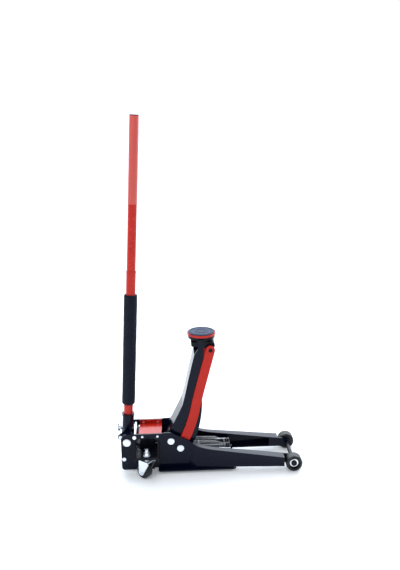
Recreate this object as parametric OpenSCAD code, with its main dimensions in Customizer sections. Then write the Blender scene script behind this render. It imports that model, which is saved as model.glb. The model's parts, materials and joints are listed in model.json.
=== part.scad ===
// Low-profile hydraulic trolley jack with a two-piece handle, drawn with its arm raised.
// +X is the front of the jack, +Y its left side and +Z up. Z = 0 is the floor.
// Side profiles are drawn in X and Z and are measured from the rear edge of the side plates.

/* [Lift linkage] */
// Distance between the two pins of the lift arm
arm_length = 375; // [340:1:390]
// Angle of the lift arm above the horizontal when raised
arm_raised = 73; // [60:1:75]
// Height of the arm pivot above the floor
arm_pivot_z = 114.5; // [110:0.5:118]
// Radius of the crank pins about the arm pivot
crank_radius = 52; // [48:1:54]
// Width over the outer faces of the lift arm
arm_width = 88; // [84:1:89]

/* [Chassis] */
// Place of the rear edge of the side plates along X
rear_x = -309.3; // [-330:0.1:-290]
// Thickness of the side plates
plate_t = 5; // [4:0.5:6]
// Width over the side plates at the rear
rear_width = 117; // [116:0.5:120]
// Width over the side plates at the front
front_width = 176; // [168:1:180]
// Height of the top edge of the side plates
plate_top = 145; // [140:1:150]

/* [Wheels] */
// Radius of the front wheels
wheel_r = 29; // [26:0.5:31]
// Width of each front wheel
wheel_w = 36; // [30:1:37]
// Radius of the rear caster wheels
caster_r = 26; // [24:0.5:27]
// Trail of the rear casters
caster_trail = 12; // [10:0.5:12.5]
// Direction in which the right caster trails, about +Z
caster_turn_right = 141; // [0:1:360]
// Direction in which the left caster trails, about +Z
caster_turn_left = 219; // [0:1:360]

/* [Saddle] */
// Radius of the saddle plate
saddle_r = 49.5; // [44:0.5:50]
// Radius of the rubber pad
pad_r = 45.5; // [40:0.5:46]
// Height of the pad's top above the arm's upper pin
saddle_rise = 27; // [26:0.5:30]

/* [Handle] */
// Forward lean of the handle at its front stop
handle_lean = 3.5; // [0:0.1:5]
// Length from the handle pivot to the top end
handle_length = 1107; // [1000:1:1150]
// Length of the foam sleeve
foam_length = 399; // [380:1:410]
// Outer radius of the foam sleeve
foam_r = 22.8; // [21:0.1:25]
// Outer radius of the lower tube
lower_tube_r = 16; // [15.6:0.1:16.4]

/* [Hidden] */
$fn = 64;

// Running clearance of every pin in its bore
fit = 0.05;
// Overlap that makes cuts clean
cut = 1;

// Inner and outer faces of the side plates at the rear
rear_out = rear_width / 2;
rear_in = rear_out - plate_t;
front_out = front_width / 2;
// Length of the pressed channel and where it starts
jog_start = 238;
jog_end = 262;
plate_end = 573;
// Half width of the channel just after the jog
jog_out = rear_out + 12.3;

// Pins, each as [distance from the rear edge, height]
arm_pin = [175, arm_pivot_z];
link_pin = [208, arm_pivot_z - 27.8];
arm_dir = [cos(arm_raised), sin(arm_raised)];
head_pin = arm_pin + arm_length * arm_dir;
link_head = head_pin + link_pin - arm_pin;
crank_angle = arm_raised - 121.75;
crank_pin = arm_pin + crank_radius * [cos(crank_angle), sin(crank_angle)];
handle_pin = [20.7, 115.5];
stop_pin = [47.6, 134.3];
tie_pin = [8.9, 52.1];
axle_pin = [606.5, wheel_r];
screw_x = [75.1, 128.1];
screw_z = 135.8;

// Radii of the pins
big_pin_r = 11.5;
handle_pin_r = 13;
axle_r = 7;
head_pin_r = 7;
crank_pin_r = 8;

// Lift arm and side links
arm_out = arm_width / 2;
arm_cheek = 6;
arm_in = arm_out - arm_cheek;
link_in = arm_out + 1.5;
link_t = 6;
link_out = link_in + link_t;

// Wheels
wheel_out = 98.6;
wheel_in = wheel_out - wheel_w;
recess_r = 20;
recess_depth = 12;

// Casters
stud_x = 90.8;
stud_y = 100;
stud_r = 6;
shelf_top = 86;
shelf_t = 5;
shelf_front = 116;
shelf_x0 = 48;
shelf_x1 = 133;
fork_top = 72;
fork_half = 20;
fork_t = 3;
caster_w = 28;
caster_axle_r = 4;

// Hydraulic unit
block_x0 = 66;
block_x1 = 118;
block_half = 44;
cylinder_z = 55;
cylinder_r = 23;
cylinder_end = 278;
ram_r = 10;
crosshead_x = 365;
crosshead_x1 = 387;
pull_in = 30;
pull_out = 36;
plunger_y = 14;
plunger_z = 98;
plunger_r = 7;
plunger_face = 22.4;
barrel_r = 10;
barrel_x0 = 58;
barrel_x1 = 112;
roller_arm = 20;
roller_r = 8;
roller_angle = 245;
roller_pin = handle_pin + roller_arm * [cos(roller_angle), sin(roller_angle)];
spring_y = 16;
spring_z = 86;
spring_r = 7;
spring_x0 = 214;
spring_x1 = 338;
cover_x0 = 62;
cover_x1 = 142;
cover_floor = 128;

// Handle
socket_r = 20.2;
socket_s0 = 10;
socket_s1 = 83;
joint_s = 602;
foam_s = 122.5;
grip_s = 826;
upper_tube_r = 14.6;
grip_r = 15.2;
screw_s = 30;
rear_pin = [-3, 121];
rear_pin_r = 7;

// Points of an arc about c from angle a0 to a1
function arc(c, r, a0, a1, n = 8) =
    [for (i = [0 : n]) c + r * [cos(a0 + (a1 - a0) * i / n), sin(a0 + (a1 - a0) * i / n)]];

// Points of a quadratic curve from a to c, pulled towards b
function curve(a, b, c, n = 8) =
    [for (i = [0 : n]) let (t = i / n) (1 - t) * (1 - t) * a + 2 * t * (1 - t) * b + t * t * c];

// Unit vector along v, and v turned a quarter turn to its right
function unit(v) = v / norm(v);
function right_of(v) = [v[1], -v[0]];

// Extrudes a side profile across the jack, from y0 to y1
module across(y0, y1) {
    translate([rear_x, y1, 0]) rotate([90, 0, 0]) linear_extrude(y1 - y0) children();
}

// A round bar across the jack at point p
module bar(p, r, y0, y1) {
    across(y0, y1) translate(p) circle(r);
}

// Extrudes a plan shape from z0 to z1
module upright(z0, z1) {
    translate([rear_x, 0, z0]) linear_extrude(z1 - z0) children();
}

// A round bar along X
module along(y, z, r, x0, x1) {
    translate([rear_x + x0, y, z]) rotate([0, 90, 0]) cylinder(r = r, h = x1 - x0);
}

// Keeps the right side (-Y) as drawn, and mirrors it for the left side
module sided(side) {
    if (side < 0) children();
    else mirror([0, 1, 0]) children();
}

// Draws its children on both sides
module both_sides() {
    children();
    mirror([0, 1, 0]) children();
}

// Places its children on the handle's axis, with Z along the handle from its pivot
module on_handle() {
    translate([rear_x + handle_pin[0], 0, handle_pin[1]]) rotate([0, handle_lean, 0]) children();
}

// ---- Chassis ----

// Side profile of a side plate
module plate_profile() {
    polygon(concat(
        arc([12, 21], 12, 180, 270),
        [[116, 9], [116, 14], [388, 14], [400, 17], [plate_end, 17], [plate_end, 51], [330, 83]],
        curve([330, 83], [285, 89], [262, 101]),
        [[186, plate_top - 4], [180, plate_top + 2], [150, plate_top + 2], [146, plate_top]],
        arc([22, plate_top - 22], 22, 90, 180)));
}

// Opening in a side plate above the caster's shelf
module shelf_opening() {
    polygon(concat([[53, 86], [128, 86]], arc([111, 110], 17, 0, 90), arc([70, 110], 17, 90, 180)));
}

// Plan of the plate wall on the right side: flat at the rear, pressed outwards at the front
module wall_plan() {
    polygon([
        [-cut, -rear_out], [jog_start, -rear_out], [jog_end, -jog_out], [plate_end, -front_out],
        [plate_end, plate_t - front_out], [jog_end + 1.5, plate_t - jog_out],
        [jog_start + 1.5, -rear_in], [-cut, -rear_in]]);
}

// Plan of the space between the rear plane of the plate and the pressed wall
module flange_plan() {
    polygon([
        [jog_start + 1.5, -rear_in], [plate_end, -rear_in],
        [plate_end, -front_out], [jog_end, -jog_out], [jog_start, -rear_out]]);
}

// Nose that carries the front axle
module nose_profile() {
    polygon([[540, 17], [plate_end, 17], [606.5, 12], [606.5, 46], [plate_end, 51], [540, 54]]);
    translate(axle_pin) circle(17);
}

module side_plate(side) {
    color([0.1, 0.11, 0.15]) sided(side) difference() {
        union() {
            intersection() {
                across(-100, 0) plate_profile();
                upright(0, 160) wall_plan();
            }
            intersection() {
                across(-100, 0) difference() {
                    plate_profile();
                    translate([0, -plate_t]) plate_profile();
                }
                upright(20, 160) flange_plan();
            }
            intersection() {
                across(-100, 0) translate([400, 17]) square([plate_end - 400, plate_t]);
                upright(0, 160) flange_plan();
            }
            intersection() {
                across(-100, 0) translate([plate_end - plate_t, 17]) square([plate_t, 34]);
                upright(0, 160) flange_plan();
            }
            across(-rear_out, -rear_in) nose_profile();
        }
        across(-70, 0) shelf_opening();
        bar(axle_pin, axle_r, -90, 0);
        bar(arm_pin, big_pin_r, -90, 0);
        bar(link_pin, big_pin_r, -90, 0);
        bar(handle_pin, handle_pin_r, -90, 0);
        bar(stop_pin, 6, -90, 0);
        bar(tie_pin, 5, -90, 0);
        for (x = screw_x) bar([x, screw_z], 3, -90, 0);
    }
}

module base_plate() {
    color([0.1, 0.11, 0.15]) difference() {
        upright(9, 14) polygon([
            [129, -75], [135, -81], [397, -81], [403, -75],
            [403, 75], [397, 81], [135, 81], [129, 75]]);
        for (x = [200, 266, 332]) translate([rear_x + x, 0, 0]) cylinder(r = 20, h = 20);
    }
}

// Bar through both plates, with a round head outside each of them
module headed_bar(p, r, head_r, head_t) {
    bar(p, r, -rear_out - 0.5, rear_out + 0.5);
    both_sides() bar(p, head_r, -rear_out - head_t, -rear_out);
}

module rear_tie_bar() {
    color([0.85, 0.86, 0.88]) {
        headed_bar(tie_pin, 5, 7, 3.5);
        bar(tie_pin, 9, -rear_in, rear_in);
    }
}

module handle_stop_bar() {
    color([0.85, 0.86, 0.88]) headed_bar(stop_pin, 6, 6.8, 3.5);
}

module front_axle() {
    color([0.75, 0.78, 0.82]) bar(axle_pin, axle_r, -87.2, 87.2);
}

module axle_nuts() {
    color([0.06, 0.06, 0.07]) both_sides() bar(axle_pin, 9.4, -93, -87.2);
}

// Front wheel: a roller with rounded shoulders and a recess for the axle nut
module front_wheel(side) {
    color([0.05, 0.05, 0.06]) sided(side)
        translate([rear_x + axle_pin[0], -wheel_in, axle_pin[1]]) rotate([90, 0, 0])
        rotate_extrude($fn = 96) polygon(concat(
            [[axle_r + fit, 0], [wheel_r - 5, 0]],
            arc([wheel_r - 5, 5], 5, -90, 0),
            arc([wheel_r - 7, wheel_w - 7], 7, 0, 90),
            [[recess_r, wheel_w], [recess_r, wheel_w - recess_depth],
             [axle_r + fit, wheel_w - recess_depth]]));
}

// Bright bearing ring at the bottom of the wheel's recess
module wheel_ring(side) {
    color([0.8, 0.81, 0.83]) sided(side) {
        floor_y = wheel_out - recess_depth;
        difference() {
            bar(axle_pin, 15, -floor_y - 2.5, -floor_y);
            bar(axle_pin, 10.2, -floor_y - 5 - cut, -floor_y + cut);
        }
    }
}

// ---- Rear casters ----

// Welded bracket outside the side plate, with a shelf for the caster's stud
module caster_bracket(side) {
    color([0.1, 0.11, 0.15]) sided(side) {
        difference() {
            across(-shelf_front, -rear_out) translate([shelf_x0, shelf_top - shelf_t])
                square([shelf_x1 - shelf_x0, shelf_t]);
            translate([rear_x + stud_x, -stud_y, 0]) cylinder(r = stud_r, h = 200);
        }
        across(-shelf_front, 3 - shelf_front) translate([shelf_x0, 77.5])
            square([shelf_x1 - shelf_x0, 4]);
        for (x = [shelf_x0, shelf_x1 - plate_t]) translate([rear_x + x, 0, 0]) rotate([90, 0, 90])
            linear_extrude(plate_t) polygon([
                [-rear_out, 52], [-shelf_front, 68], [-shelf_front, shelf_top],
                [-shelf_front + 6, shelf_top], [-rear_out, 118]]);
    }
}

// Fixed stud with its nut on the shelf and the upper race below it
module caster_stud(side) {
    color([0.85, 0.86, 0.88]) sided(side) translate([rear_x + stud_x, -stud_y, 0]) {
        translate([0, 0, fork_top - 8]) cylinder(r = stud_r, h = shelf_top + 23 - fork_top + 8);
        translate([0, 0, fork_top - 7.3]) cylinder(r = 9, h = 4);
        translate([0, 0, shelf_top]) cylinder(r = 13, h = 2);
        translate([0, 0, shelf_top + 2]) cylinder(r = 11.5, h = 10, $fn = 6);
        translate([0, 0, shelf_top - shelf_t - 3.5]) cylinder(r = 11.5, h = 3.5);
    }
}

// Puts its children at the caster's stud, with +X along the trail
module on_caster(side) {
    turn = side < 0 ? caster_turn_right : caster_turn_left;
    translate([rear_x + stud_x, side * stud_y, 0]) rotate([0, 0, turn]) children();
}

// Cheek of the fork: wide at the top and round at the axle
module fork_cheek() {
    polygon([[-20.5, fork_top], [-20.5, fork_top - 10], [caster_trail - 10.2, caster_r - 4],
        [caster_trail + 10.4, caster_r - 3], [20.5, fork_top - 14], [20.5, fork_top]]);
    translate([caster_trail, caster_r]) circle(11);
}

module caster_fork(side) {
    color([0.86, 0.87, 0.89]) on_caster(side) difference() {
        union() {
            translate([-20.5, -fork_half, fork_top - fork_t]) cube([41, 2 * fork_half, fork_t]);
            translate([0, 0, fork_top - fork_t]) cylinder(r = 12.5, h = fork_t + 4);
            for (y = [-fork_half, fork_half - fork_t])
                translate([0, y + fork_t, 0]) rotate([90, 0, 0]) linear_extrude(fork_t) fork_cheek();
        }
        translate([0, 0, fork_top - 20]) cylinder(r = stud_r + fit, h = 60);
        translate([caster_trail, fork_half + cut, caster_r]) rotate([90, 0, 0])
            cylinder(r = caster_axle_r, h = 2 * fork_half + 2 * cut);
    }
}

module caster_axle(side) {
    color([0.8, 0.81, 0.83]) on_caster(side) translate([caster_trail, 0, caster_r]) rotate([90, 0, 0]) {
        cylinder(r = caster_axle_r, h = 2 * fork_half, center = true);
        for (s = [-1, 1]) translate([0, 0, s * (fork_half + 1.5)]) cylinder(r = 6.5, h = 3, center = true);
    }
}

module caster_wheel(side) {
    color([0.05, 0.05, 0.06]) on_caster(side) translate([caster_trail, caster_w / 2, caster_r])
        rotate([90, 0, 0]) rotate_extrude($fn = 96) polygon(concat(
            [[caster_axle_r + fit, 0], [10, 0], [11, 2], [caster_r - 7, 2], [caster_r - 6, 0]],
            arc([caster_r - 5, 5], 5, -90, 0),
            arc([caster_r - 5, caster_w - 5], 5, 0, 90),
            [[caster_r - 6, caster_w], [caster_r - 7, caster_w - 2], [11, caster_w - 2],
             [10, caster_w], [caster_axle_r + fit, caster_w]]));
}

// ---- Pins held in the side plates ----

// Pin end outside the plate, with its dark retaining ring
module pin_end(p, r) {
    bar(p, r + 0.7, -rear_out - 1.5, -rear_out);
    bar(p, r, -rear_out - 3.5, -rear_out);
}

module arm_shaft() {
    color([0.88, 0.89, 0.9]) {
        bar(arm_pin, big_pin_r, -rear_out - 3.5, rear_out + 3.5);
        both_sides() pin_end(arm_pin, big_pin_r);
    }
}

module link_bolts() {
    color([0.88, 0.89, 0.9]) both_sides() {
        bar(link_pin, big_pin_r, -rear_out - 3.5, -arm_out - 0.8);
        pin_end(link_pin, big_pin_r);
    }
}

module handle_pivot_pins() {
    color([0.88, 0.89, 0.9]) both_sides() {
        bar(handle_pin, handle_pin_r, -rear_out - 5, -29);
        pin_end(handle_pin, handle_pin_r);
    }
}

// ---- Lift arm ----

// Rear edge of the raised arm, which lies nearly flush with the plates when lowered
arm_back = concat(
    curve([172, 150], [200, 203], [218, 243], 6),
    [[228, 282], [240, 337], [251, 383], [262, 427]]);

// Inner face of the plate that joins the cheeks along the rear edge
arm_back_in = [for (i = [len(arm_back) - 1 : -1 : 0]) arm_back[i] + [4.4, -1.6]];

// Outline of an arm cheek
module arm_profile() {
    polygon(concat(
        [[157, 134]], arm_back,
        [[274.8, 446], [274.8, 474], [295.2, 474], [296, 448], [292, 408]],
        curve([288, 358], [284, 310], [287, 262], 4),
        curve([287, 240], [284.5, 180], [263, 116], 6),
        [[248, 92], crank_pin + [13, -8], crank_pin + [-2, -15], [160, 96]]));
    translate(arm_pin) circle(24);
    translate(crank_pin) circle(15);
    translate(head_pin) circle(10.4);
}

module lift_arm() {
    color([0.11, 0.12, 0.16]) difference() {
        union() {
            both_sides() across(-arm_out, -arm_in) arm_profile();
            across(-arm_in, arm_in) polygon(concat(arm_back, arm_back_in));
        }
        bar(arm_pin, 16, -50, 50);
        bar(head_pin, head_pin_r + fit, -50, 50);
        bar(crank_pin, crank_pin_r, -50, 50);
    }
}

// Bush pressed through both cheeks of the arm, which turns on the arm shaft
module arm_bush() {
    color([0.62, 0.5, 0.28]) difference() {
        bar(arm_pin, 16, -arm_out - 0.6, arm_out + 0.6);
        bar(arm_pin, big_pin_r + fit, -60, 60);
    }
}

// Stub pins that the pull links push on
module crank_pins() {
    color([0.7, 0.71, 0.73]) both_sides() bar(crank_pin, crank_pin_r, -arm_out, -pull_in + 1);
}

// Stub pins in the saddle bracket that the arm turns on
module arm_head_pin() {
    color([0.6, 0.61, 0.63]) both_sides() bar(head_pin, head_pin_r, -arm_out - 0.5, -18);
}

// ---- Side links ----

// Centre line of a link, bowed towards the front
link_line = concat(
    curve(link_pin, [239, 140], [258, 211], 7),
    [[269, 261], [281, 309], [295, 361], [307, 405], link_head]);
link_n = len(link_line) - 1;

// Half width of a link at step i of its centre line
function link_half(i) = 17.5 - 2 * i / link_n;

// Unit normal of the centre line at step i
function link_normal(i) =
    right_of(unit(link_line[min(i + 1, link_n)] - link_line[max(i - 1, 0)]));

module side_link(side) {
    color([0.8, 0.22, 0.18]) sided(side) difference() {
        across(-link_out, -link_in) {
            polygon(concat(
                [for (i = [0 : link_n]) link_line[i] + link_half(i) * link_normal(i)],
                [for (i = [link_n : -1 : 0]) link_line[i] - link_half(i) * link_normal(i)]));
            translate(link_pin) circle(17.5);
            translate(link_head) circle(15.5);
        }
        bar(link_pin, big_pin_r + fit, -60, 0);
        bar(link_head, head_pin_r + fit, -60, 0);
    }
}

// ---- Saddle ----

saddle_x = head_pin[0] + 5;
pad_top = head_pin[1] + saddle_rise;
cup_top = pad_top - 12.5;
cup_bottom = head_pin[1] - 3;
holder_half = 36.5;
spigot_r = 14;

// Bracket between the arm's cheeks, held level by the side links
module saddle_bracket() {
    color([0.08, 0.085, 0.1]) difference() {
        union() {
            across(-holder_half, holder_half) polygon([
                [saddle_x - 37, cup_bottom], [saddle_x - 37, cup_bottom - 11],
                [saddle_x - 33, cup_bottom - 15], [saddle_x + 44, cup_bottom - 15],
                [saddle_x + 44, cup_bottom - 8], [saddle_x + 38, cup_bottom]]);
            both_sides() across(-holder_half, -29) {
                polygon([
                    [head_pin[0] + 2, cup_bottom - 14], link_head + [-13, 0],
                    link_head + [13, 0], [saddle_x + 44, cup_bottom - 14]]);
                translate(link_head) circle(13);
            }
        }
        bar(head_pin, head_pin_r, -50, 50);
        bar(link_head, head_pin_r, -50, 50);
    }
}

module link_head_pins() {
    color([0.12, 0.12, 0.13]) both_sides() bar(link_head, head_pin_r, -link_out - 1.2, -27);
}

// Cup on the bracket, with a socket for the saddle's spigot
module saddle_cup() {
    color([0.08, 0.085, 0.1]) difference() {
        translate([rear_x + saddle_x, 0, cup_bottom]) difference() {
            union() {
                cylinder(r = holder_half, h = cup_top - cup_bottom);
                intersection() {
                    translate([0, 0, cup_top - cup_bottom - 9]) cylinder(r = saddle_r - 3, h = 9);
                    translate([-60, -holder_half, 0]) cube([120, 2 * holder_half, 40]);
                }
            }
            translate([0, 0, -cut]) cylinder(r = spigot_r + fit, h = 40);
        }
        both_sides() bar(head_pin, head_pin_r, -50, -17);
    }
}

// Saddle plate with a raised rim and a spigot
module saddle_plate() {
    color([0.8, 0.2, 0.17]) translate([rear_x + saddle_x, 0, cup_top + 0.3]) difference() {
        union() {
            cylinder(r = saddle_r - 2, h = 3);
            translate([0, 0, 2]) cylinder(r = saddle_r, h = 6.2);
            translate([0, 0, -14]) cylinder(r = spigot_r, h = 15);
        }
        translate([0, 0, 4]) cylinder(r = pad_r, h = 10);
    }
}

// Rubber pad set in the saddle plate, with two raised rings
module saddle_pad() {
    color([0.35, 0.4, 0.46]) translate([rear_x + saddle_x, 0, cup_top + 4.3]) {
        cylinder(r = pad_r, h = 7.2);
        for (r = [18, 38]) translate([0, 0, 7.2]) difference() {
            cylinder(r = r + 3, h = 1);
            translate([0, 0, -cut]) cylinder(r = r, h = 4);
        }
    }
}

// ---- Hydraulic unit ----

module pump_block() {
    color([0.32, 0.33, 0.35]) difference() {
        union() {
            across(-block_half, block_half) translate([block_x0, 18]) square([block_x1 - block_x0, 60]);
            across(-28, 28) translate([block_x0, 78]) square([block_x1 - block_x0, 34]);
        }
        for (s = [-1, 1]) along(s * plunger_y, plunger_z, barrel_r, block_x0 - cut, barrel_x1);
        along(0, 56, 5.5, block_x0 - cut, block_x0 + 20);
        along(0, cylinder_z, ram_r + 4, block_x1 - 8, block_x1 + cut);
    }
}

// Oil reservoir: a saddle-shaped tank over the pump block
module reservoir() {
    color([0.12, 0.12, 0.14]) difference() {
        across(-block_half, block_half) translate([block_x0, 78.3]) square([block_x1 - block_x0, 46]);
        across(-28.3, 28.3) translate([block_x0 - cut, 70]) square([60, 42.3]);
        translate([rear_x + 92, 0, 110]) cylinder(r = 6, h = 30);
    }
}

module pump_barrels() {
    color([0.7, 0.71, 0.73]) for (s = [-1, 1]) difference() {
        along(s * plunger_y, plunger_z, barrel_r, barrel_x0, barrel_x1);
        along(s * plunger_y, plunger_z, plunger_r + fit, barrel_x0 - cut, barrel_x1 - 3);
    }
}

module cylinder_tube() {
    color([0.12, 0.12, 0.14]) difference() {
        along(0, cylinder_z, cylinder_r, block_x1, cylinder_end - 8);
        along(0, cylinder_z, ram_r + 5, block_x1 + 6, cylinder_end);
    }
}

module gland_nut() {
    color([0.75, 0.76, 0.78]) difference() {
        along(0, cylinder_z, cylinder_r + 1.5, cylinder_end - 8, cylinder_end);
        along(0, cylinder_z, ram_r + fit, cylinder_end - 8 - cut, cylinder_end + cut);
    }
}

// Filler plug in the reservoir and relief valve in the block
module valve_plugs() {
    color([0.75, 0.6, 0.25]) {
        translate([rear_x + 92, 0, 112.5]) {
            cylinder(r = 6, h = 11.8);
            translate([0, 0, 11.8]) cylinder(r = 8, h = 3, $fn = 6);
        }
        along(-34, 40, 7, block_x0 - 6, block_x0);
    }
}

// Two plungers with flat heads, which the cam rollers push forwards
module pump_plungers() {
    color([0.8, 0.81, 0.83]) for (s = [-1, 1]) {
        along(s * plunger_y, plunger_z, plunger_r, plunger_face, plunger_face + 62);
        along(s * plunger_y, plunger_z, 9, plunger_face, plunger_face + 3);
    }
}

module plunger_springs() {
    color([0.6, 0.6, 0.62]) for (s = [-1, 1]) difference() {
        along(s * plunger_y, plunger_z, 8.8, plunger_face + 3.2, barrel_x0 - 0.2);
        along(s * plunger_y, plunger_z, plunger_r + 0.3, plunger_face, barrel_x0 + cut);
    }
}

// Places its children on the axis of the release valve, with Z towards the handle
valve_from = [65, 56];
valve_to = [27, 79];
module on_valve() {
    slope = valve_to - valve_from;
    translate([rear_x + valve_from[0], 0, valve_from[1]]) rotate([0, atan2(slope[0], slope[1]), 0])
        children();
}

module release_valve() {
    color([0.7, 0.71, 0.73]) on_valve() {
        cylinder(r = 4, h = norm(valve_to - valve_from) - 5);
        translate([0, 0, 10]) cylinder(r = 5.5, h = 8, $fn = 6);
        translate([0, 0, norm(valve_to - valve_from) - 5]) sphere(r = 5.5);
    }
}

module ram_rod() {
    color([0.85, 0.86, 0.88]) {
        along(0, cylinder_z, ram_r, cylinder_end - 60, crosshead_x + 6);
        along(0, cylinder_z, ram_r + 5 - fit, cylinder_end - 74, cylinder_end - 60);
    }
}

// Yoke on the end of the ram, with a hook eye for each return spring
module crosshead() {
    color([0.12, 0.12, 0.14]) difference() {
        union() {
            across(-pull_in, pull_in) translate([crosshead_x, 44]) square([crosshead_x1 - crosshead_x, 26]);
            for (s = [-1, 1]) translate([rear_x + crosshead_x + 6, s * spring_y - 3, 68])
                cube([14, 6, 9]);
        }
        along(0, cylinder_z, ram_r, crosshead_x - cut, crosshead_x + 6);
        bar([crosshead_x + 13, 73], 2.2, -30, 30);
    }
}

// Pull links: bars with a tall slot that the crank pins ride in
module pull_links() {
    color([0.3, 0.31, 0.33]) both_sides() across(-pull_out, -pull_in) difference() {
        union() {
            translate([crank_pin[0] - 15, 45]) square([30, 47]);
            translate([crank_pin[0], 50]) square([crosshead_x1 - crank_pin[0], 18]);
        }
        translate([crank_pin[0], 63.5]) circle(9.8);
        translate([crank_pin[0], 75]) circle(9.8);
        translate([crank_pin[0] - 9.8, 63.5]) square([19.6, 11.5]);
    }
}

// Clamp on the cylinder that holds the rear hooks of the return springs
module spring_anchor() {
    color([0.12, 0.12, 0.14]) difference() {
        union() {
            along(0, cylinder_z, cylinder_r + 4, 198, 208);
            for (s = [-1, 1]) translate([rear_x + 198, s * spring_y - 3, 68]) cube([10, 6, 24]);
        }
        along(0, cylinder_z, cylinder_r, 190, 220);
    }
}

module return_springs() {
    color([0.6, 0.6, 0.62]) for (s = [-1, 1]) {
        along(s * spring_y, spring_z, spring_r, spring_x0, spring_x1);
        along(s * spring_y, spring_z, 1.6, 208, spring_x0);
        translate([rear_x + spring_x1, s * spring_y, spring_z - 2]) rotate([0, 107.4, 0])
            cylinder(r = 1.6, h = 33);
    }
}

// Red cover tray between the side plates
module power_cover() {
    color([0.82, 0.2, 0.16]) difference() {
        union() {
            across(0.2 - rear_in, rear_in - 0.2) translate([cover_x0, cover_floor])
                square([cover_x1 - cover_x0, 2]);
            both_sides() across(0.2 - rear_in, 2.2 - rear_in) translate([cover_x0, cover_floor])
                square([cover_x1 - cover_x0, plate_top - cover_floor]);
        }
        for (x = screw_x) bar([x, screw_z], 3, -60, 60);
    }
}

module cover_screws() {
    color([0.88, 0.89, 0.9]) both_sides() for (x = screw_x) {
        bar([x, screw_z], 3, -rear_out - 1, -rear_in + 4);
        bar([x, screw_z], 4, -rear_out - 2.5, -rear_out);
        bar([x, screw_z], 4.5, -rear_in + 2.2, -rear_in + 4.5);
    }
}

// ---- Handle ----

// Yoke: socket tube on a bridge with two cheeks that hang on the pivot pins
module handle_yoke() {
    color([0.1, 0.11, 0.14]) difference() {
        union() {
            on_handle() {
                translate([0, 0, socket_s0]) cylinder(r = socket_r - 1.4, h = 40);
                translate([0, 0, 34]) cylinder(r = socket_r, h = socket_s1 - 34);
                translate([0, 0, socket_s1 - 5]) cylinder(r = 22.2, h = 7);
            }
            both_sides() across(-50, -29) {
                translate(handle_pin) circle(21);
                polygon([[0, 118], [8, 140], [34, 140], [41.2, 118]]);
            }
            both_sides() across(-37, -29) {
                translate(roller_pin) circle(9);
                polygon([[1, 110], roller_pin + [-8.7, 2], roller_pin + [8.7, -2], [36, 103]]);
            }
            across(-30, 30) polygon([[3, 123], [8, 140], [35, 140], [38, 123]]);
            both_sides() across(-30, -24) {
                translate(rear_pin) circle(10);
                polygon([[-10.5, 127], [14, 150], [20, 150], [20, 128], [4, 114.5], [-3, 111]]);
            }
        }
        on_handle() translate([0, 0, socket_s0 + 2]) cylinder(r = lower_tube_r + fit, h = 100);
        on_handle() translate([0, 0, screw_s]) rotate([0, -90, 0]) cylinder(r = 4 + fit, h = 40);
        bar(handle_pin, handle_pin_r + fit, -60, 60);
        bar(rear_pin, rear_pin_r, -60, 60);
        bar(roller_pin, 3.5, -36, 36);
    }
}

module cam_rollers() {
    color([0.75, 0.76, 0.78]) both_sides() {
        bar(roller_pin, roller_r, -19, -9);
        bar(roller_pin, 3.5, -36, -19);
    }
}

module yoke_rear_pin() {
    color([0.88, 0.89, 0.9]) bar(rear_pin, rear_pin_r, -33, 33);
}

// T-headed screw that holds the handle in the socket
module clamp_screw() {
    color([0.88, 0.89, 0.9]) on_handle() translate([0, 0, screw_s]) rotate([0, -90, 0]) {
        translate([0, 0, lower_tube_r + 0.4]) cylinder(r = 4, h = 20);
        translate([0, 0, lower_tube_r + 8.5]) cylinder(r = 7.5, h = 6);
        translate([-14, 0, lower_tube_r + 19.5]) rotate([0, 90, 0]) cylinder(r = 4, h = 28);
    }
}

module lower_tube() {
    color([0.8, 0.23, 0.18]) on_handle() difference() {
        union() {
            translate([0, 0, socket_s0 + 3]) cylinder(r = lower_tube_r, h = joint_s - socket_s0 - 3);
            translate([0, 0, joint_s - 5]) cylinder(r = lower_tube_r + 0.9, h = 5);
        }
        translate([0, 0, joint_s - 60]) cylinder(r = upper_tube_r, h = 100);
        translate([0, 0, 0]) cylinder(r = 11, h = joint_s);
    }
}

module upper_tube() {
    color([0.85, 0.27, 0.23]) on_handle() difference() {
        translate([0, 0, joint_s - 60]) cylinder(r = upper_tube_r, h = handle_length - joint_s + 58);
        translate([0, 0, joint_s - 61]) cylinder(r = 11, h = 1000);
    }
}

module foam_sleeve() {
    color([0.18, 0.2, 0.26]) on_handle() difference() {
        translate([0, 0, foam_s]) cylinder(r = foam_r, h = foam_length);
        cylinder(r = lower_tube_r, h = 1000);
    }
}

// Coated grip on the upper end of the handle
module grip_sleeve() {
    color([0.85, 0.3, 0.26]) on_handle() difference() {
        translate([0, 0, grip_s]) cylinder(r = grip_r, h = handle_length - grip_s - 3);
        cylinder(r = upper_tube_r, h = 1300);
    }
}

module handle_cap() {
    color([0.1, 0.1, 0.1]) on_handle() {
        translate([0, 0, handle_length - 2]) cylinder(r = grip_r, h = 2);
        translate([0, 0, handle_length - 16]) cylinder(r = 11, h = 14);
    }
}

side_plate(-1);  // side_plate_right
side_plate(1);  // side_plate_left
base_plate();
rear_tie_bar();
handle_stop_bar();
front_axle();
axle_nuts();
front_wheel(-1);  // front_wheel_right
front_wheel(1);  // front_wheel_left
wheel_ring(-1);  // wheel_ring_right
wheel_ring(1);  // wheel_ring_left
caster_bracket(-1);  // caster_bracket_right
caster_bracket(1);  // caster_bracket_left
caster_stud(-1);  // caster_stud_right
caster_stud(1);  // caster_stud_left
caster_fork(-1);  // caster_fork_right
caster_fork(1);  // caster_fork_left
caster_axle(-1);  // caster_axle_right
caster_axle(1);  // caster_axle_left
caster_wheel(-1);  // caster_wheel_right
caster_wheel(1);  // caster_wheel_left
arm_shaft();
link_bolts();
handle_pivot_pins();
lift_arm();
arm_bush();
crank_pins();
arm_head_pin();
side_link(-1);  // side_link_right
side_link(1);  // side_link_left
saddle_bracket();
link_head_pins();
saddle_cup();
saddle_plate();
saddle_pad();
pump_block();
reservoir();
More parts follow.
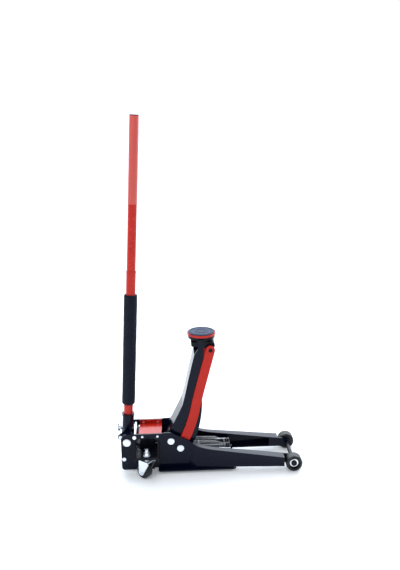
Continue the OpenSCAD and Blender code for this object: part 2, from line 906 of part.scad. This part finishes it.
pump_barrels();
cylinder_tube();
gland_nut();
valve_plugs();
pump_plungers();
plunger_springs();
release_valve();
ram_rod();
crosshead();
pull_links();
spring_anchor();
return_springs();
power_cover();
cover_screws();
handle_yoke();
cam_rollers();
yoke_rear_pin();
clamp_screw();
lower_tube();
upper_tube();
foam_sleeve();
grip_sleeve();
handle_cap();
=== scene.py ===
import json
import math
import bpy
from mathutils import Matrix, Vector, noise


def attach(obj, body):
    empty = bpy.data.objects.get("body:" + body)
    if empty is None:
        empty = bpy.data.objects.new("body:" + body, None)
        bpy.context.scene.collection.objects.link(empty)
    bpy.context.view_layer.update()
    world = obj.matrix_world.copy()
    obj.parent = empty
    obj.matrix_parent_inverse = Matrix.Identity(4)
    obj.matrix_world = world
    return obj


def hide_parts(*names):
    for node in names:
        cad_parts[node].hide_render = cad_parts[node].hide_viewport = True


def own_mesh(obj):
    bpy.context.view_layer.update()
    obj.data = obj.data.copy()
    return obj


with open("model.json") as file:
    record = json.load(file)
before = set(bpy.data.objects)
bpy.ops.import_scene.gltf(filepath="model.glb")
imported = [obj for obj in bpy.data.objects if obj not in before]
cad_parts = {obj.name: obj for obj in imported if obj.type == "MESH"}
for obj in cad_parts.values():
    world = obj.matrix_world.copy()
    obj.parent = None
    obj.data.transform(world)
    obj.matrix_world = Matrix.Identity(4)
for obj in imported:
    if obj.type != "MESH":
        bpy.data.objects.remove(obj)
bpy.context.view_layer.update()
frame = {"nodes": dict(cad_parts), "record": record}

NODES = frame["nodes"]
SLOT_OF = {s["node"]: s["material_slot"] for s in frame["record"]["subparts"]}
REAR = -0.3093                                          # X of the rear edge of the side plates
LEAN = math.radians(3.5)                                # forward lean of the handle at rest
PIVOT = Vector((REAR + 0.0207, 0.0, 0.1155))            # where the handle's axis meets its pivot
ALONG = Vector((math.sin(LEAN), 0.0, math.cos(LEAN)))   # up the handle


# ---- Materials ----

def new_material(name):
    m = bpy.data.materials.new(name)
    m.use_nodes = True
    nt = m.node_tree
    nt.nodes.clear()
    out = nt.nodes.new("ShaderNodeOutputMaterial")
    bsdf = nt.nodes.new("ShaderNodeBsdfPrincipled")
    nt.links.new(bsdf.outputs["BSDF"], out.inputs["Surface"])
    return m, nt, bsdf


def noise_node(nt, coords, scale, detail=3.0, rough=0.5, distortion=0.0):
    n = nt.nodes.new("ShaderNodeTexNoise")
    n.inputs["Scale"].default_value = scale
    n.inputs["Detail"].default_value = detail
    n.inputs["Roughness"].default_value = rough
    n.inputs["Distortion"].default_value = distortion
    nt.links.new(coords, n.inputs["Vector"])
    return n.outputs["Fac"]


def spread(nt, fac, low, high, a=0.3, b=0.7):
    r = nt.nodes.new("ShaderNodeMapRange")
    r.inputs["From Min"].default_value = a
    r.inputs["From Max"].default_value = b
    r.inputs["To Min"].default_value = low
    r.inputs["To Max"].default_value = high
    nt.links.new(fac, r.inputs["Value"])
    return r.outputs["Result"]


def two_tone(nt, fac, dark, light):
    mix = nt.nodes.new("ShaderNodeMix")
    mix.data_type = "RGBA"
    mix.inputs["A"].default_value = (*dark, 1)
    mix.inputs["B"].default_value = (*light, 1)
    nt.links.new(fac, mix.inputs["Factor"])
    return mix.outputs["Result"]


def bump(nt, height, strength, distance, normal=None):
    b = nt.nodes.new("ShaderNodeBump")
    b.inputs["Strength"].default_value = strength
    b.inputs["Distance"].default_value = distance
    nt.links.new(height, b.inputs["Height"])
    if normal is not None:
        nt.links.new(normal, b.inputs["Normal"])
    return b.outputs["Normal"]


def surface(name, dark, light, rough, metallic=0.0, specular=0.5, coat=0.0, coat_rough=0.06,
            colour_scale=14.0, bump_scale=900.0, bump_strength=0.05, bump_distance=0.0002,
            sheen=0.0, stretch=(1, 1, 1)):
    """Two close tones, uneven roughness and a fine grain, in the object's own coordinates."""
    m, nt, bsdf = new_material(name)
    tc = nt.nodes.new("ShaderNodeTexCoord")
    mp = nt.nodes.new("ShaderNodeMapping")
    mp.inputs["Scale"].default_value = stretch
    nt.links.new(tc.outputs["Object"], mp.inputs["Vector"])
    at = mp.outputs["Vector"]
    tone = spread(nt, noise_node(nt, at, colour_scale, 4.0, 0.55), 0.0, 1.0)
    nt.links.new(two_tone(nt, tone, dark, light), bsdf.inputs["Base Color"])
    wear = spread(nt, noise_node(nt, at, colour_scale * 3.1, 5.0, 0.6), rough[0], rough[1])
    nt.links.new(wear, bsdf.inputs["Roughness"])
    grain = noise_node(nt, at, bump_scale, 2.0, 0.5)
    nt.links.new(bump(nt, grain, bump_strength, bump_distance), bsdf.inputs["Normal"])
    bsdf.inputs["Metallic"].default_value = metallic
    bsdf.inputs["Specular IOR Level"].default_value = specular
    bsdf.inputs["Coat Weight"].default_value = coat
    bsdf.inputs["Coat Roughness"].default_value = coat_rough
    if sheen:
        bsdf.inputs["Sheen Weight"].default_value = sheen
        bsdf.inputs["Sheen Roughness"].default_value = 0.4
    return m


def handle_coords(nt):
    """Coordinates with Z along the leaning handle."""
    tc = nt.nodes.new("ShaderNodeTexCoord")
    mp = nt.nodes.new("ShaderNodeMapping")
    mp.vector_type = "TEXTURE"
    mp.inputs["Location"].default_value = PIVOT
    mp.inputs["Rotation"].default_value = (0, LEAN, 0)
    nt.links.new(tc.outputs["Object"], mp.inputs["Vector"])
    return mp.outputs["Vector"]


def knurled(name, dark, light):
    """Coated grip with a crossed fine knurl."""
    m, nt, bsdf = new_material(name)
    at = handle_coords(nt)
    split = nt.nodes.new("ShaderNodeSeparateXYZ")
    nt.links.new(at, split.inputs["Vector"])
    turn = nt.nodes.new("ShaderNodeMath")
    turn.operation = "ARCTAN2"
    nt.links.new(split.outputs["Y"], turn.inputs[0])
    nt.links.new(split.outputs["X"], turn.inputs[1])
    waves = []
    for sign in (1.0, -1.0):
        k = nt.nodes.new("ShaderNodeMath")
        k.operation = "MULTIPLY_ADD"
        k.inputs[1].default_value = sign * 1150.0
        nt.links.new(split.outputs["Z"], k.inputs[0])
        a = nt.nodes.new("ShaderNodeMath")
        a.operation = "MULTIPLY"
        a.inputs[1].default_value = 22.0
        nt.links.new(turn.outputs["Value"], a.inputs[0])
        nt.links.new(a.outputs["Value"], k.inputs[2])
        s = nt.nodes.new("ShaderNodeMath")
        s.operation = "SINE"
        nt.links.new(k.outputs["Value"], s.inputs[0])
        waves.append(s.outputs["Value"])
    both = nt.nodes.new("ShaderNodeMath")
    both.operation = "MAXIMUM"
    nt.links.new(waves[0], both.inputs[0])
    nt.links.new(waves[1], both.inputs[1])
    tone = spread(nt, both.outputs["Value"], 0.0, 1.0, -0.2, 1.0)
    nt.links.new(two_tone(nt, tone, dark, light), bsdf.inputs["Base Color"])
    wear = spread(nt, noise_node(nt, at, 40.0, 4.0, 0.6), 0.30, 0.42)
    nt.links.new(wear, bsdf.inputs["Roughness"])
    nt.links.new(bump(nt, both.outputs["Value"], 0.35, 0.0004), bsdf.inputs["Normal"])
    bsdf.inputs["Specular IOR Level"].default_value = 0.5
    bsdf.inputs["Coat Weight"].default_value = 0.3
    bsdf.inputs["Coat Roughness"].default_value = 0.2
    return m


def foam_material(name, dark, light):
    """Dull closed-cell foam."""
    m, nt, bsdf = new_material(name)
    tc = nt.nodes.new("ShaderNodeTexCoord")
    at = tc.outputs["Object"]
    tone = spread(nt, noise_node(nt, at, 60.0, 5.0, 0.6), 0.0, 1.0)
    nt.links.new(two_tone(nt, tone, dark, light), bsdf.inputs["Base Color"])
    cells = nt.nodes.new("ShaderNodeTexVoronoi")
    cells.inputs["Scale"].default_value = 700.0
    nt.links.new(at, cells.inputs["Vector"])
    low = bump(nt, noise_node(nt, at, 90.0, 3.0, 0.5), 0.25, 0.0008)
    nt.links.new(bump(nt, cells.outputs["Distance"], 0.5, 0.0005, low), bsdf.inputs["Normal"])
    bsdf.inputs["Roughness"].default_value = 0.82
    bsdf.inputs["Specular IOR Level"].default_value = 0.18
    bsdf.inputs["Sheen Weight"].default_value = 0.04
    bsdf.inputs["Sheen Roughness"].default_value = 0.5
    return m


MATERIALS = {
    "navy_paint": surface("navy_paint", (0.0016, 0.0034, 0.0120), (0.0026, 0.0050, 0.0160), (0.12, 0.17),
                          specular=0.15, bump_scale=420.0, bump_strength=0.03),
    "black_paint": surface("black_paint", (0.0022, 0.0032, 0.0065), (0.0040, 0.0050, 0.0090), (0.26, 0.36),
                           specular=0.16, bump_scale=500.0, bump_strength=0.05),
    "red_paint": surface("red_paint", (0.47, 0.014, 0.006), (0.53, 0.020, 0.010), (0.22, 0.30),
                         specular=0.28, bump_scale=420.0, bump_strength=0.04),
    # Very dark tones: partly the steel's own dark finish, partly painted shade, so the rod beside the springs
    # looks shadowed
    "dark_steel": surface("dark_steel", (0.075, 0.078, 0.085), (0.12, 0.125, 0.135), (0.24, 0.34),
                          metallic=1.0, colour_scale=50.0, bump_scale=800.0, bump_strength=0.05),
    "zinc": surface("zinc", (0.74, 0.78, 0.83), (0.86, 0.90, 0.95), (0.26, 0.40), metallic=1.0,
                    colour_scale=60.0, bump_scale=700.0, bump_strength=0.05),
    "steel": surface("steel", (0.36, 0.37, 0.39), (0.50, 0.51, 0.53), (0.28, 0.42), metallic=1.0,
                     colour_scale=50.0, bump_scale=800.0, bump_strength=0.06),
    "castiron": surface("castiron", (0.035, 0.036, 0.038), (0.06, 0.061, 0.064), (0.62, 0.8),
                        specular=0.35, bump_scale=320.0, bump_strength=0.35, bump_distance=0.0006),
    "brass": surface("brass", (0.55, 0.38, 0.13), (0.68, 0.49, 0.20), (0.26, 0.38), metallic=1.0,
                     colour_scale=60.0, bump_scale=800.0),
    "nylon": surface("nylon", (0.008, 0.0083, 0.009), (0.013, 0.0135, 0.0145), (0.36, 0.48),
                     specular=0.38, bump_scale=600.0, bump_strength=0.08),
    "rubber": surface("rubber", (0.034, 0.052, 0.100), (0.055, 0.080, 0.140), (0.50, 0.64),
                      specular=0.16, colour_scale=90.0, bump_scale=500.0, bump_strength=0.25,
                      bump_distance=0.0005),
    "foam": foam_material("foam", (0.0035, 0.0055, 0.0135), (0.0065, 0.0090, 0.0190)),
    "grip": knurled("grip", (0.42, 0.035, 0.024), (0.72, 0.095, 0.070)),
    "black_plastic": surface("black_plastic", (0.010, 0.010, 0.011), (0.016, 0.016, 0.017), (0.30, 0.42),
                             specular=0.4, bump_scale=600.0),
    "link_red": surface("link_red", (0.46, 0.013, 0.006), (0.52, 0.019, 0.010), (0.30, 0.40),
                        specular=0.20, bump_scale=380.0, bump_strength=0.05),
}


PAINTED = {"side_link": "link_red", "caster_bracket": "black_paint"}    # where the look differs from the slot


def paint(obj, name):
    obj.data.materials.clear()
    obj.data.materials.append(MATERIALS[name])


for name, obj in NODES.items():
    paint(obj, next((look for start, look in PAINTED.items() if name.startswith(start)), SLOT_OF[name]))


# ---- Rounded edges on the hard pieces ----

PLAIN_EDGE = 0.0006     # for every piece that EDGE does not name
EDGE = {"side_plate": 0.0011, "lift_arm": 0.0011, "side_link": 0.0010, "base_plate": 0.0009,
        "caster_bracket": 0.0009, "handle_yoke": 0.0010, "saddle_bracket": 0.0010, "saddle_cup": 0.0008,
        "saddle_plate": 0.0012, "saddle_pad": 0.0006, "caster_fork": 0.0006, "power_cover": 0.0004,
        "grip_sleeve": 0.0, "upper_tube": 0.0, "return_springs": 0.0, "plunger_springs": 0.0,
        "foam_sleeve": 0.0, "front_wheel": 0.0005, "caster_wheel": 0.0005, "cover_screws": 0.0003}
for name, obj in NODES.items():
    width = next((w for k, w in EDGE.items() if name.startswith(k)), PLAIN_EDGE)
    if width:
        mod = obj.modifiers.new("edge", "BEVEL")
        mod.width = width
        mod.segments = 2
        mod.limit_method = "ANGLE"
        mod.angle_limit = math.radians(38)
        mod.harden_normals = False
        mod.use_clamp_overlap = True


# ---- Wire springs ----

def tube_mesh(name, path, radius, sides=8):
    """A closed round tube swept along a list of points."""
    verts, faces = [], []
    side = None
    for i, p in enumerate(path):
        t = (path[min(i + 1, len(path) - 1)] - path[max(i - 1, 0)]).normalized()
        if side is None:
            side = t.orthogonal().normalized()
        side = (side - t * side.dot(t)).normalized()
        up = t.cross(side)
        for k in range(sides):
            a = 2 * math.pi * k / sides
            verts.append(p + (side * math.cos(a) + up * math.sin(a)) * radius)
    for i in range(len(path) - 1):
        for k in range(sides):
            a, b = i * sides + k, i * sides + (k + 1) % sides
            faces.append((a, b, b + sides, a + sides))
    faces.append(tuple(range(sides))[::-1])
    faces.append(tuple((len(path) - 1) * sides + k for k in range(sides)))
    me = bpy.data.meshes.new(name)
    me.from_pydata(verts, [], faces)
    me.validate()
    me.update()
    for f in me.polygons:
        f.use_smooth = True
    ob = bpy.data.objects.new(name, me)
    bpy.context.scene.collection.objects.link(ob)
    return ob


def coil(x0, x1, radius, turns, steps=20):
    """Points of a helix about the X axis."""
    return [Vector((x0 + (x1 - x0) * i / (turns * steps),
                    radius * math.cos(2 * math.pi * i / steps),
                    radius * math.sin(2 * math.pi * i / steps))) for i in range(turns * steps + 1)]


def X(x):
    """X of a place that is x mm in front of the rear edge."""
    return REAR + x / 1000


RETURN_Y = 0.016        # each return spring is this far from the middle
RETURN_Z = 0.0865       # height of its rear end
RETURN_DROP = 0.0055    # and how much lower its front end is, to clear the lowered arm
for side in (-1, 1):
    y = side * RETURN_Y
    body = coil(X(214), X(338), 0.0050, 24)
    body = [p + Vector((0, y, RETURN_Z - RETURN_DROP * i / (len(body) - 1))) for i, p in enumerate(body)]
    rear = [Vector((X(202), y, 0.0875)), Vector((X(206), y, 0.0885)), Vector((X(210), y, 0.088)),
            Vector((X(213), y + 0.003, 0.0870))]
    front = [Vector((X(341), y + 0.003, 0.0812)), Vector((X(346), y, 0.0800)), Vector((X(358), y, 0.0775)),
             Vector((X(370), y, 0.0752)), Vector((X(377.5), y, 0.0732))]
    s = tube_mesh(f"return_spring_{'left' if side > 0 else 'right'}", rear + body + front, 0.0012)
    paint(s, "steel")
    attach(s, "chassis")
    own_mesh(s)
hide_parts("return_springs")

PLUNGER_Y, PLUNGER_Z = 0.014, 0.098     # the plungers' axes
for side in (-1, 1):
    path = [p + Vector((0, side * PLUNGER_Y, PLUNGER_Z)) for p in coil(X(25.9), X(57.6), 0.0080, 7)]
    s = tube_mesh(f"plunger_spring_{'left' if side > 0 else 'right'}", path, 0.00075)
    paint(s, "steel")
    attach(s, "chassis")
    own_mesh(s)
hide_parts("plunger_springs")


# ---- Foam sleeve ----

OUTSIDE = 0.019         # only skin farther out than this is uneven, so the bore stays true


def lathe(name, profile, sides, wobble=0.0):
    """A closed skin turned about the handle: profile is a list of (distance along, radius)."""
    across = Vector((math.cos(LEAN), 0, -math.sin(LEAN)))
    deep = Vector((0, 1, 0))
    verts, faces = [], []
    for s, r in profile:
        for k in range(sides):
            a = 2 * math.pi * k / sides
            d = across * math.cos(a) + deep * math.sin(a)
            uneven = noise.noise(Vector((3 * math.cos(a), 3 * math.sin(a), s * 28))) - 0.35
            q = r + wobble * uneven if r > OUTSIDE else r
            verts.append(PIVOT + ALONG * s + d * q)
    n = len(profile)
    for i in range(n):
        j = (i + 1) % n
        for k in range(sides):
            b = (k + 1) % sides
            faces.append((i * sides + k, j * sides + k, j * sides + b, i * sides + b))
    me = bpy.data.meshes.new(name)
    me.from_pydata(verts, [], faces)
    me.validate()
    me.update()
    for f in me.polygons:
        f.use_smooth = True
    ob = bpy.data.objects.new(name, me)
    bpy.context.scene.collection.objects.link(ob)
    return ob


s0, s1 = 0.1225, 0.5215         # ends of the sleeve, along the handle from the pivot
outer, inner = 0.0228, 0.01605  # its radii
profile = [(s0 + 0.0004, inner), (s0, inner + 0.0015), (s0 + 0.0002, outer - 0.0034),
           (s0 + 0.0012, outer - 0.0014), (s0 + 0.0034, outer - 0.0002)]
steps = 110
profile += [(s0 + 0.006 + (s1 - s0 - 0.012) * i / steps, outer) for i in range(steps + 1)]
profile += [(s1 - 0.0034, outer - 0.0002), (s1 - 0.0012, outer - 0.0014), (s1 - 0.0002, outer - 0.0034),
            (s1, inner + 0.0015), (s1 - 0.0004, inner)]
profile += [(s1 - 0.1, inner), (s0 + 0.1, inner)]
foam = lathe("foam_grip", profile, 72, 0.0007)
paint(foam, "foam")
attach(foam, "handle")
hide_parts("foam_sleeve")


# ---- Stage ----

me = bpy.data.meshes.new("floor")
me.from_pydata([(-40, -12, 0), (40, -12, 0), (40, 60, 0), (-40, 60, 0)], [], [(0, 1, 2, 3)])
floor = bpy.data.objects.new("floor", me)
bpy.context.scene.collection.objects.link(floor)
fm, nt, bsdf = new_material("floor")
bsdf.inputs["Base Color"].default_value = (0.94, 0.96, 0.98, 1)
bsdf.inputs["Roughness"].default_value = 0.6
bsdf.inputs["Emission Color"].default_value = (0.92, 0.97, 1.0, 1)
bsdf.inputs["Emission Strength"].default_value = 0.16
bsdf.inputs["Specular IOR Level"].default_value = 0.2
floor.data.materials.append(fm)
floor.location.z = -0.0003

world = bpy.data.worlds.new("studio")
bpy.context.scene.world = world
world.use_nodes = True
wt = world.node_tree
bg = wt.nodes["Background"]
where = wt.nodes.new("ShaderNodeTexCoord")
parts = wt.nodes.new("ShaderNodeSeparateXYZ")
wt.links.new(where.outputs["Generated"], parts.inputs["Vector"])
glow = spread(wt, parts.outputs["Y"], 0.50, 1.35, -0.5, 0.8)
# A soft bright patch in the reflected sky: three ramps multiplied, each an axis, its two ends and its range.
WINDOW = (("Y", 0.0, 1.0, 0.55, 0.75), ("Z", 0.0, 1.0, 0.26, 0.42), ("Z", 1.0, 0.0, 0.62, 0.80))
window = None
for axis, low, high, a, b in WINDOW:
    part = spread(wt, parts.outputs[axis], low, high, a, b)
    if window is None:
        window = part
        continue
    times = wt.nodes.new("ShaderNodeMath")
    times.operation = "MULTIPLY"
    wt.links.new(window, times.inputs[0])
    wt.links.new(part, times.inputs[1])
    window = times.outputs["Value"]
softbox = wt.nodes.new("ShaderNodeMath")
softbox.operation = "MULTIPLY_ADD"
softbox.inputs[1].default_value = 4.0
wt.links.new(window, softbox.inputs[0])
wt.links.new(glow, softbox.inputs[2])
glow = softbox.outputs["Value"]
# Seen directly, the backdrop is plain white; the glow only lights and reflects.
ray = wt.nodes.new("ShaderNodeLightPath")
pick = wt.nodes.new("ShaderNodeMix")
pick.data_type = "FLOAT"
wt.links.new(ray.outputs["Is Camera Ray"], pick.inputs["Factor"])
wt.links.new(glow, pick.inputs["A"])
pick.inputs["B"].default_value = 1.3
wt.links.new(pick.outputs["Result"], bg.inputs["Strength"])
bg.inputs["Color"].default_value = (0.84, 0.91, 1.0, 1)


def area(name, at, towards, size, power, colour=(1.0, 0.97, 0.93)):
    d = bpy.data.lights.new(name, "AREA")
    d.shape = "RECTANGLE"
    d.size, d.size_y = size
    d.energy = power
    d.color = colour
    o = bpy.data.objects.new(name, d)
    bpy.context.scene.collection.objects.link(o)
    o.location = at
    o.rotation_euler = (Vector(towards) - Vector(at)).to_track_quat("-Z", "Y").to_euler()
    return o


# name, place, aim, size in m, power in W
area("key", (-1.6, -2.0, 2.6), (0, 0, 0.3), (1.4, 1.4), 30)
area("top", (0.3, 0.6, 3.0), (0.1, 0, 0.2), (1.8, 1.2), 22)
area("rim", (1.8, 1.6, 1.6), (0, 0, 0.3), (0.8, 1.4), 18)

# ---- Camera ----

cam_data = bpy.data.cameras.new("camera")
cam_data.sensor_width = 36.0
cam_data.sensor_fit = "AUTO"
cam_data.lens = 38.087
cam_data.clip_end = 200
cam = bpy.data.objects.new("camera", cam_data)
bpy.context.scene.collection.objects.link(cam)
pitch, yaw, roll = (math.radians(v) for v in (14.45, 2.62, -0.83))
ahead = Vector((math.sin(yaw) * math.cos(pitch), math.cos(yaw) * math.cos(pitch), -math.sin(pitch)))
level = Vector((math.cos(yaw), -math.sin(yaw), 0))
up = level.cross(ahead)
right = level * math.cos(roll) + up * math.sin(roll)
top = -level * math.sin(roll) + up * math.cos(roll)
rot = Matrix((right, top, -ahead)).transposed().to_4x4()
cam.matrix_world = Matrix.Translation((REAR + 0.19715, -1.97373, 1.17174)) @ rot
bpy.context.scene.camera = cam

scene = bpy.context.scene
scene.view_settings.view_transform = "Standard"
scene.view_settings.look = "None"
scene.view_settings.exposure = 0.0
